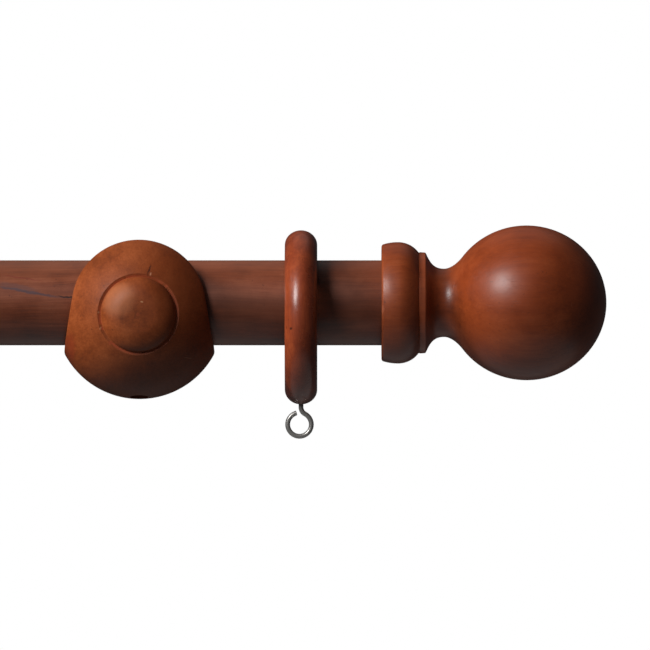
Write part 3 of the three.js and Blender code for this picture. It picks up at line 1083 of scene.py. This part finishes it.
@dataclass
class WallFixing:
    """The steel plate behind a bracket with its two countersunk wall screws."""

    places: Places
    plate_radius: float = 17.5
    plate_thickness: float = 2.5
    screw_offset: float = 11.5
    screw_radius: float = 2.0
    screw_head: float = 4.0
    screw_length: float = 40.0

    def screw(self) -> bpy.types.Object:
        """Turns and threads a wall screw whose head is at the wall face's middle."""
        radius = self.screw_radius
        tip = self.plate_thickness - self.screw_length
        cone = self.plate_thickness - (self.screw_head - radius)
        outline = Outline().to(0, tip).to(0.5, tip + 0.9, parts=3).to(radius, tip + 6, parts=16)
        outline.to(radius, cone - 7, parts=86).to(radius * 0.86, cone - 6.4, parts=2)
        outline.to(radius * 0.86, cone - 0.6).to(radius, cone)
        outline.to(self.screw_head - 0.15, self.plate_thickness - 0.2)
        edge = (self.screw_head - 0.15, self.plate_thickness)
        outline.curve((self.screw_head, self.plate_thickness - 0.1), edge)
        outline.to(0, self.plate_thickness)
        screw = turn("wall_screw", outline, Vector(), OUT_OF_WALL, segments=32)
        Thread(1.8, 0.62, tip + 0.6, cone - 6.4).wind(screw, Vector(), OUT_OF_WALL)
        face = OUT_OF_WALL * self.plate_thickness * MM
        combine(screw, cross_recess("cross_tool", face, OUT_OF_WALL, 4.2, 1.6), Joining.CUT)
        return screw

    def plate(self) -> bpy.types.Object:
        """Turns the plate with its rolled edge and countersinks it for both screws."""
        radius = self.plate_radius
        thickness = self.plate_thickness
        outline = Outline().to(0, 0).to(radius - 0.4, 0).curve((radius, 0), (radius, 0.4), parts=4)
        outline.to(radius, thickness - 0.6).curve((radius, thickness), (radius - 0.7, thickness), parts=5)
        outline.to(radius - 2.4, thickness).to(radius - 2.8, thickness - 0.25).to(3.9, thickness - 0.25)
        outline.curve((3.2, thickness - 0.25), (3.1, thickness), parts=4).to(0, thickness)
        plate = turn("wall_plate", outline, Vector(), OUT_OF_WALL)
        for upright in (1, -1):
            centre = Vector((0, 0, upright * self.screw_offset * MM))
            sink = Outline().to(0, -2).to(self.screw_radius + 0.3, -2)
            sink.to(self.screw_radius + 0.3, thickness - 2).to(self.screw_head + 0.3, thickness)
            sink.to(self.screw_head + 0.3, thickness + 2).to(0, thickness + 2)
            combine(plate, turn("sink", sink, centre, OUT_OF_WALL, segments=48), Joining.CUT)
        return plate

    def dress(self, slot: Slot) -> None:
        """Builds the plate and a screw once, and copies them to both brackets."""
        plates = []
        screws = []
        for side, x in self.places.brackets.items():
            shift = Matrix.Translation((x, 0, 0))
            plates.append((f"steel_plate_{side}", "wall_brackets", f"wall_plate_{side}", shift))
            for level, upright in (("upper", 1), ("lower", -1)):
                shift = Matrix.Translation((x, 0, upright * self.screw_offset * MM))
                end = f"{side}_{level}"
                screws.append((f"wood_screw_{end}", "wall_brackets", f"wall_screw_{end}", shift))
        dress_copies(self.plate(), slot, plates)
        dress_copies(self.screw(), slot, screws, crease=40)


@dataclass
class LockScrew:
    """The small pan-head screw in the counterbore under each head."""

    places: Places
    slope: Vector
    seat: float = 24.5
    head_radius: float = 2.75
    head_height: float = 2.4
    shank_radius: float = 1.75
    tip: float = 8.0

    def build(self) -> bpy.types.Object:
        """Turns, threads and slots the right bracket's screw."""
        shoulder = self.seat - self.head_height
        outline = Outline().to(0, self.tip).to(0.4, self.tip + 0.7)
        outline.to(self.shank_radius, self.tip + 3, parts=9)
        outline.to(self.shank_radius, shoulder, parts=44).to(self.head_radius - 0.2, shoulder)
        outline.to(self.head_radius, shoulder + 0.2).to(self.head_radius, shoulder + 0.7)
        crown = (self.head_radius * 0.5, self.seat)
        outline.curve((self.head_radius, self.seat), crown, (0, self.seat), parts=12)
        origin = self.places.on_pole(self.places.brackets["right"])
        axis = -self.slope
        screw = turn("lock_screw", outline, origin, axis, segments=40)
        Thread(1.3, 0.45, self.tip + 0.4, shoulder - 1).wind(screw, origin, axis)
        face = origin + axis * self.seat * MM
        combine(screw, cross_recess("cross_tool", face, axis, 3.2, 1.3), Joining.CUT)
        return screw

    def dress(self, slot: Slot) -> None:
        """Builds the screw once and copies it to both brackets."""
        first = self.places.brackets["right"]
        places = []
        for side, x in self.places.brackets.items():
            shift = Matrix.Translation((x - first, 0, 0))
            places.append((f"lock_screw_{side}", "wall_brackets", f"pole_lock_screw_{side}", shift))
        dress_copies(self.build(), slot, places, crease=40)


@dataclass
class Finial:
    """The ball finial: collar with its socket, fillet, neck and ball."""

    places: Places
    socket_radius: float = 14.45
    socket_depth: float = 10.0
    hole_radius: float = 2.8
    hole_depth: float = 34.3
    collar_radius: float = 20.0
    fillet_radius: float = 16.6
    neck_radius: float = 11.25
    ball_radius: float = 25.5
    ball_half_length: float = 26.3
    ball_centre: float = 47.8

    def build(self) -> bpy.types.Object:
        """Turns the right finial.

        Returns:
            The finial.
        """
        ovolo = 8.4
        ovolo_start = 5.5
        outline = Outline().to(0, self.hole_depth).to(self.hole_radius, self.hole_depth)
        outline.to(self.hole_radius, self.socket_depth).to(self.socket_radius, self.socket_depth)
        outline.to(self.socket_radius, 0.4).to(self.socket_radius + 0.4, 0)
        outline.to(self.collar_radius - 1.5, 0)
        outline.curve((self.collar_radius - 0.75, 0.05), (self.collar_radius - 0.6, 1), parts=5)
        outline.curve((self.collar_radius, 3), (self.collar_radius, ovolo_start), parts=6)
        centre = (self.collar_radius - ovolo, ovolo_start)
        outline.arc(centre, (ovolo, ovolo), 0, math.asin(0.786), parts=14)
        outline.to(self.fillet_radius - 0.1, 12.35).to(self.fillet_radius + 0.1, 12.6)
        outline.to(self.fillet_radius, 14.1)
        outline.curve((self.fillet_radius, 14.5), (self.fillet_radius - 0.4, 14.7), parts=4)
        outline.curve((13.3, 16), (self.neck_radius, 17.2), (self.neck_radius, 20.6), parts=14)
        blend = -math.acos(0.592)
        shoulder = (self.ball_radius * math.cos(blend), 26.6)
        outline.curve((self.neck_radius, 22.8), (13.2, 25.1), shoulder, parts=12)
        reach = (self.ball_radius, self.ball_half_length)
        outline.arc((0, self.ball_centre), reach, blend, math.pi / 2, parts=52)
        collar = self.places.on_pole(self.places.collars["right"])
        return turn("finial", outline, collar, Vector((1, 0, 0)), segments=160)

    def dress(self, slot: Slot) -> None:
        """Builds the finial once and turns its copy round for the left end."""
        right = self.places.on_pole(self.places.collars["right"])
        left = self.places.on_pole(self.places.collars["left"])
        turned = Matrix.Translation(left) @ Matrix.Rotation(math.pi, 4, "Z") @ Matrix.Translation(-right)
        places = [
            (f"ball_finial_{side}", f"finial_{side}", f"finial_{side}", change)
            for side, change in (("right", Matrix.Identity(4)), ("left", turned))
        ]
        dress_copies(self.build(), slot, places, crease=24)


@dataclass
class DowelScrew:
    """The headless double-ended screw that joins a finial to the pole."""

    radius: float = 2.5
    length: float = 44.0
    pitch: float = 2.5

    def build(self) -> bpy.types.Object:
        """Turns and threads the dowel screw about its own middle."""
        half = self.length / 2
        outline = Outline().to(0, -half).to(0.4, 0.6 - half).to(self.radius, 5 - half, parts=14)
        outline.to(self.radius, -3, parts=44).to(self.radius, 3, parts=4).to(self.radius, half - 5, parts=44)
        outline.to(0.4, half - 0.6, parts=14).to(0, half)
        dowel = turn("dowel_screw", outline, Vector(), Vector((1, 0, 0)), segments=40)
        for start, end in ((0.3 - half, -2), (2, half - 0.3)):
            Thread(self.pitch, 0.7, start, end).wind(dowel, Vector(), Vector((1, 0, 0)))
        return dowel

    def dress(self, slot: Slot) -> None:
        """Builds the screw once and copies it into both ends of the pole."""
        places = []
        for side in ("right", "left"):
            node = f"dowel_screw_{side}"
            shift = Matrix.Translation(Places.middle(node))
            places.append((f"threaded_dowel_{side}", f"dowel_{side}", node, shift))
        dress_copies(self.build(), slot, places, crease=40)


@dataclass
class Ring:
    """A wooden curtain ring and the wire eye in its lowest point."""

    places: Places
    bar_radius: float = 4.85
    bar_stretch: float = 1.1
    wire_radius: float = 0.8
    loop_radius: float = 3.9
    loop_drop: float = 6.6
    loop_shift: float = -0.5
    join_angle: float = 62.0
    end_angle: float = -255.0
    thread_depth: float = 6.0

    def ring(self) -> bpy.types.Object:
        """Makes the ring about the origin, with its bar a little wider, and drills for the eye."""
        outer = self.places.ring_radius
        bar = self.bar_radius * MM
        ring = basic(
            bpy.ops.mesh.primitive_torus_add,
            major_segments=160,
            minor_segments=48,
            major_radius=outer - bar,
            minor_radius=bar,
            rotation=(0, math.pi / 2, 0),
        )
        edit_points(ring, lambda place: True)
        bpy.ops.transform.resize(value=(self.bar_stretch, 1, 1), center_override=(0, 0, 0))
        bpy.ops.object.mode_set(mode="OBJECT")
        bore = Outline().to(0, -self.thread_depth - 0.5).to(self.wire_radius + 0.1, -self.thread_depth)
        bore.to(self.wire_radius + 0.1, -0.25).to(self.wire_radius + 0.45, 0.2)
        bore.to(self.wire_radius + 0.45, 2).to(0, 2)
        bottom = Vector((0, 0, -outer))
        drill = turn("eye_drill", bore, bottom, Vector((0, 0, -1)), segments=24)
        combine(ring, drill, Joining.CUT)
        return ring

    def eye(self) -> bpy.types.Object:
        """Draws the wire down from the ring's bottom and bends it round into the loop.

        Returns:
            The eye, with the ring's lowest point at the origin.
        """
        join = math.radians(self.join_angle)
        join_x = self.loop_shift + self.loop_radius * math.cos(join)
        bend = join_x / (1 - math.cos(join))
        straight = self.loop_drop - self.loop_radius * math.sin(join) - bend * math.sin(join)
        tip = 1.6
        blunt = 0.3
        wire = basic(
            bpy.ops.mesh.primitive_circle_add,
            vertices=16,
            radius=self.wire_radius * MM * blunt,
            fill_type="NGON",
            location=(0, 0, self.thread_depth * MM),
        )
        edit_points(wire, lambda place: True)
        bpy.ops.mesh.extrude_region_move(TRANSFORM_OT_translate={"value": (0, 0, -tip * MM)})
        shoulder = (0, 0, (self.thread_depth - tip) * MM)
        bpy.ops.transform.resize(value=(1 / blunt, 1 / blunt, 1), center_override=shoulder)
        drop = self.thread_depth - tip + straight
        bpy.ops.mesh.extrude_region_move(TRANSFORM_OT_translate={"value": (0, 0, -drop * MM)})
        loop_turn = math.radians(self.join_angle - self.end_angle)
        loop_centre = (self.loop_shift * MM, 0, -self.loop_drop * MM)
        bends = (
            (join, 12, (bend * MM, 0, -straight * MM), 1),
            (loop_turn, 56, loop_centre, -1),
        )
        for angle, steps, centre, hand in bends:
            bpy.ops.mesh.spin(steps=steps, angle=angle * hand, center=centre, axis=(0, 1, 0))
        end = math.radians(self.end_angle)
        cut = Vector((math.cos(end), 0, math.sin(end))) * self.loop_radius
        cut += Vector((self.loop_shift, 0, -self.loop_drop))
        bpy.ops.mesh.extrude_region_move(TRANSFORM_OT_translate={"value": self._past_end(end) * 0.12 * MM})
        bpy.ops.transform.resize(value=(0.8, 0.8, 0.8), center_override=cut * MM)
        bpy.ops.object.mode_set(mode="OBJECT")
        close_up(wire)
        return wire

    @staticmethod
    def _past_end(angle: float) -> Vector:
        """Gives the direction in which the wire runs at an angle of the loop."""
        return Vector((math.sin(angle), 0, -math.cos(angle)))

    def dress(self, wood: Slot, nickel: Slot) -> None:
        """Builds a ring and an eye once, and hangs copies of both where the frame's rings are."""
        rings = []
        eyes = []
        for number, centre in enumerate(self.places.rings, start=1):
            body = f"ring_{number}"
            to_centre = Matrix.Translation(centre)
            to_bottom = Matrix.Translation(centre - Vector((0, 0, self.places.ring_radius)))
            rings.append((f"wooden_ring_{number}", body, f"curtain_ring_{number}", to_centre))
            eyes.append((f"wire_eye_{number}", body, f"screw_eye_{number}", to_bottom))
        dress_copies(self.ring(), wood, rings, crease=40)
        dress_copies(self.eye(), nickel, eyes, crease=40)


# ---- camera and studio --------------------------------------------------------------------------


class Glow(Enum):
    """What kind of light a studio light is, as the kind of lamp that stands for it."""

    EVEN = "SUN"
    CARD = "AREA"


@dataclass(frozen=True)
class StudioLight:
    """A large soft light.

    Attributes:
        name: The light's name.
        azimuth: Its direction in degrees, from straight in front towards the right.
        elevation: Its height in degrees.
        level: How bright a white surface that faces it looks.
        glossy: Whether it shows in glossy surfaces.
        distance: Its distance from what it lights, in metres.
    """

    name: str
    glow: Glow
    azimuth: float
    elevation: float
    width: float
    level: float
    glossy: bool = True
    distance: float = 1.6

    def hang(self, aim: Vector) -> None:
        """Hangs the light.

        Args:
            aim: The point that it lights.
        """
        azimuth = math.radians(self.azimuth)
        elevation = math.radians(self.elevation)
        flat = math.cos(elevation)
        away = Vector((math.sin(azimuth) * flat, -math.cos(azimuth) * flat, math.sin(elevation)))
        bpy.ops.object.light_add(type=self.glow.value, location=aim + away * self.distance)
        light = bpy.context.object
        light.name = self.name
        light.rotation_euler = away.to_track_quat("Z", "Y").to_euler()
        if self.glow is Glow.EVEN:
            light.data.angle = math.radians(self.width)
            light.data.energy = self.level * math.pi
        else:
            light.data.shape = "DISK"
            light.data.size = 2 * self.distance * math.tan(math.radians(self.width / 2))
            light.data.energy = self.level * (math.pi * self.distance) ** 2
        light.visible_camera = False
        light.visible_glossy = self.glossy


@dataclass
class Studio:
    """A plain pale room with soft light and a long lens in front of the right end of the pole."""

    places: Places
    frame_width: float = 0.2141
    aim_x: float = 0.0611
    aim_z: float = -0.0035
    lens: float = 600.0
    sensor: float = 36.0
    floor_drop: float = 1.6
    floor_radius: float = 7.0
    room_level: float = 0.035
    lights: tuple[StudioLight, ...] = (
        StudioLight("key_light", Glow.EVEN, -40, 29, 22, 0.6),
        StudioLight("side_light", Glow.EVEN, -78, 29, 24, 1.2, glossy=False),
        StudioLight("top_light", Glow.EVEN, -45, 70, 30, 0.06, glossy=False),
        StudioLight("low_card", Glow.CARD, 180, -84, 96, 0.24, distance=1.5),
        StudioLight("front_fill", Glow.EVEN, -25, -25, 40, 0.035, glossy=False),
        StudioLight("back_card", Glow.CARD, 180, 58, 50, 0.03),
    )

    def camera(self) -> None:
        """Stands the camera in front of the pole, level with it."""
        distance = self.frame_width * self.lens / self.sensor
        place = Vector((self.aim_x, self.places.pole_centre.y - distance, self.aim_z))
        bpy.ops.object.camera_add(location=place, rotation=(math.pi / 2, 0, 0))
        camera = bpy.context.object
        camera.data.lens = self.lens
        camera.data.sensor_width = self.sensor
        camera.data.clip_end = 100
        bpy.context.scene.camera = camera

    def floor(self) -> None:
        bpy.ops.object.select_all(action="DESELECT")
        bpy.ops.mesh.primitive_circle_add(
            vertices=96, radius=self.floor_radius, fill_type="NGON", location=(0, 0, -self.floor_drop)
        )
        floor = bpy.context.object
        floor.name = "studio_floor"
        graph = Graph("pale_floor")
        cloud = graph.noise(graph.place(), 3, 3, 0.5).outputs[0]
        colour = graph.ramp(cloud, [(0.3, (0.665, 0.665, 0.655)), (0.7, (0.68, 0.68, 0.67))])
        graph.tree.links.new(colour, graph.shader.inputs["Base Color"])
        graph.shader.inputs["Roughness"].default_value = 0.9
        floor.data.materials.append(graph.material)
        floor.visible_diffuse = False
        floor.visible_glossy = False

    def surroundings(self) -> None:
        world = bpy.data.worlds.new("studio_room")
        bpy.context.scene.world = world
        world.use_nodes = True
        tree = world.node_tree
        tree.nodes.clear()
        seen = tree.nodes.new("ShaderNodeBackground")
        seen.inputs["Color"].default_value = (1, 1, 1, 1)
        felt = tree.nodes.new("ShaderNodeBackground")
        felt.inputs["Color"].default_value = (0.93, 0.97, 1.0, 1)
        felt.inputs["Strength"].default_value = self.room_level
        rays = tree.nodes.new("ShaderNodeLightPath")
        mix = tree.nodes.new("ShaderNodeMixShader")
        output = tree.nodes.new("ShaderNodeOutputWorld")
        tree.links.new(rays.outputs["Is Camera Ray"], mix.inputs[0])
        tree.links.new(felt.outputs[0], mix.inputs[1])
        tree.links.new(seen.outputs[0], mix.inputs[2])
        tree.links.new(mix.outputs[0], output.inputs["Surface"])

    def set_up(self) -> None:
        """Sets up camera, floor, surroundings and lights."""
        self.camera()
        self.floor()
        self.surroundings()
        for light in self.lights:
            light.hang(self.places.on_pole(self.aim_x))
        bpy.context.scene.view_settings.view_transform = "Standard"


# ---- the whole kit ------------------------------------------------------------------------------

HEAD_WOOD = WoodFinish(
    name="head_wood",
    grain=Grain.OUT_OF_WALL,
    dark=(0.105, 0.022, 0.006),
    middle=(0.205, 0.045, 0.0105),
    light=(0.30, 0.074, 0.020),
    flush=(0.21, 0.038, 0.008),
    rubbed=(0.33, 0.06, 0.02),
    roughness=0.55,
    coat=0.05,
    specular=0.3,
    marks_and_painted_light=(
        # Painted highlight, partly dust: a lighter patch at the upper left of the button.
        MarkAndPaintedLight("button dust", (-6.5, -98, 5.0), (7.5, 6, 7.5), 0, (0.46, 0.17, 0.075), 0.35, 0),
        # Painted shade: the lower part of the head darker, where less light falls from above.
        MarkAndPaintedLight("low stain", (4, -80, -27), (36, 50, 24), 0, (0.070, 0.014, 0.004), 0.5, 0),
        MarkAndPaintedLight("red arris", (-23.5, -78, -13), (3.2, 24, 9), 12, (0.20, 0.022, 0.008), 0.5, 0),
        MarkAndPaintedLight("nick", (3.5, -93.5, 14.6), (0.35, 3, 2.7), 16, (0.045, 0.010, 0.005), 0.85),
        MarkAndPaintedLight("nick edge", (4.0, -93.5, 13.2), (0.3, 3, 0.8), 16, (0.45, 0.20, 0.11), 0.7),
        MarkAndPaintedLight("upper chip", (-13.0, -95, 0.5), (0.45, 4, 0.5), 0, (0.38, 0.18, 0.09), 0.65),
        MarkAndPaintedLight("lower chip", (-12.4, -95, -4.5), (0.35, 4, 0.55), 20, (0.38, 0.18, 0.09), 0.65),
        MarkAndPaintedLight("fleck", (1.15, -99, 4.1), (0.6, 3, 0.32), 15, (0.46, 0.24, 0.12), 0.75, 0.4),
        MarkAndPaintedLight("fine crack", (16.5, -90, -14.4), (2.2, 6, 0.25), 12, (0.30, 0.12, 0.06), 0.6),
    ),
)
POLE_WOOD = WoodFinish(
    name="pole_wood",
    grain=Grain.ALONG_POLE,
    dark=(0.080, 0.019, 0.009),
    middle=(0.165, 0.040, 0.0155),
    light=(0.25, 0.072, 0.032),
    flush=(0.18, 0.036, 0.012),
    rubbed=(0.26, 0.088, 0.042),
    roughness=0.46,
    marks_and_painted_light=(
        MarkAndPaintedLight("grey streak", (-36.5, -83, 7.4), (14, 6, 0.65), 10.5, (0.060, 0.036, 0.046), 0.8, -0.3),
        MarkAndPaintedLight("grey shade", (-40, -83, 9.0), (9, 6, 1.3), 10.5, (0.095, 0.042, 0.040), 0.5, 0),
        # Painted shadow: a darker band along the front of the pole between bracket and finial, where the
        # head and the rings cast shadow.
        MarkAndPaintedLight("low streak", (45, -84, 0.5), (62, 9, 8), 0, (0.045, 0.014, 0.008), 0.4, 0),
        # Painted light: the whole top of the pole lighter and greyer, standing in for light from above and
        # its sheen.
        MarkAndPaintedLight("faded top", (-360, -70, 21), (620, 40, 15), 0, (0.27, 0.105, 0.060), 0.35, 0),
        MarkAndPaintedLight("dark line", (-23, -83.5, 5.6), (5.4, 4, 0.35), 5.4, (0.020, 0.008, 0.008), 0.9),
        MarkAndPaintedLight("red line", (-38, -80, 11.9), (9, 5, 0.3), 9.0, (0.16, 0.025, 0.015), 0.6, -0.2),
    ),
)
FINIAL_WOOD = WoodFinish(
    name="finial_wood",
    grain=Grain.ALONG_POLE,
    dark=(0.115, 0.019, 0.0045),
    middle=(0.21, 0.038, 0.0080),
    light=(0.29, 0.062, 0.016),
    flush=(0.20, 0.031, 0.0065),
    rubbed=(0.30, 0.08, 0.035),
    roughness=0.42,
    coat=0.3,
    marks_and_painted_light=(
        MarkAndPaintedLight("upper tick", (141.8, -85, 3.1), (0.28, 8, 1.5), 10, (0.40, 0.16, 0.09), 0.6),
        MarkAndPaintedLight("lower tick", (145.1, -80, -16.3), (0.28, 12, 1.3), -8, (0.33, 0.13, 0.07), 0.6),
        MarkAndPaintedLight("dark dent", (97.0, -90, 7.0), (0.5, 8, 0.4), 0, (0.05, 0.012, 0.006), 0.7),
        # Painted highlight, partly rubbed wear: each finial's fillet band lighter all round.
        MarkAndPaintedLight("right fillet", (93.5, -70, 3.8), (1.6, 24, 24), 0, (0.38, 0.085, 0.030), 0.6, 0),
        MarkAndPaintedLight("left fillet", (-814.7, -70, 3.8), (1.6, 24, 24), 0, (0.38, 0.085, 0.030), 0.6, 0),
    ),
)
RING_WOOD = WoodFinish(
    name="ring_wood",
    grain=Grain.UPRIGHT,
    dark=(0.085, 0.014, 0.006),
    middle=(0.205, 0.038, 0.013),
    light=(0.40, 0.085, 0.024),
    flush=(0.22, 0.034, 0.010),
    rubbed=(0.30, 0.07, 0.03),
    roughness=0.30,
    coat=0.45,
    marks_and_painted_light=(
        MarkAndPaintedLight("speck", (49.9, -98, -4.5), (0.65, 4, 0.5), 0, (0.02, 0.006, 0.004), 0.85),
        MarkAndPaintedLight("small speck", (49.2, -98, -1.9), (0.3, 4, 0.3), 0, (0.03, 0.008, 0.005), 0.7),
    ),
)
NICKEL = MetalFinish("nickel_wire", (0.47, 0.455, 0.43), (0.30, 0.29, 0.275), 0.3, 0.15, metallic=0.6)
ZINC = MetalFinish("zinc_steel", (0.60, 0.61, 0.62), (0.40, 0.41, 0.42), 0.34)
BRASS = MetalFinish("plain_brass", (0.78, 0.56, 0.24), (0.45, 0.30, 0.12), 0.3)


def main() -> None:
    logging.basicConfig(level=logging.INFO, format="%(name)s: %(message)s")
    places = Places.from_frame()
    lift = next(joint for joint in frame["joints"] if joint["name"] == "pole_lift")
    slope = Vector(lift["axis"]).normalized()
    Studio(places).set_up()
    zinc = Slot("zinc_steel", ZINC.material())
    Pole(places, slope).dress(Slot("pole_wood", POLE_WOOD.material()))
    Bracket(places, slope).dress(Slot("bracket_wood", HEAD_WOOD.material()))
    WallFixing(places).dress(zinc)
    LockScrew(places, slope).dress(zinc)
    Finial(places).dress(Slot("finial_wood", FINIAL_WOOD.material()))
    DowelScrew().dress(zinc)
    Ring(places).dress(Slot("ring_wood", RING_WOOD.material()), Slot("nickel_wire", NICKEL.material()))
    brass = BRASS.material()
    for side in places.brackets:
        for node, metal in ((f"plate_stud_{side}", zinc.material), (f"insert_nut_{side}", brass)):
            frame["nodes"][node].data.materials.clear()
            frame["nodes"][node].data.materials.append(metal)


if __name__ == "__main__":
    main()
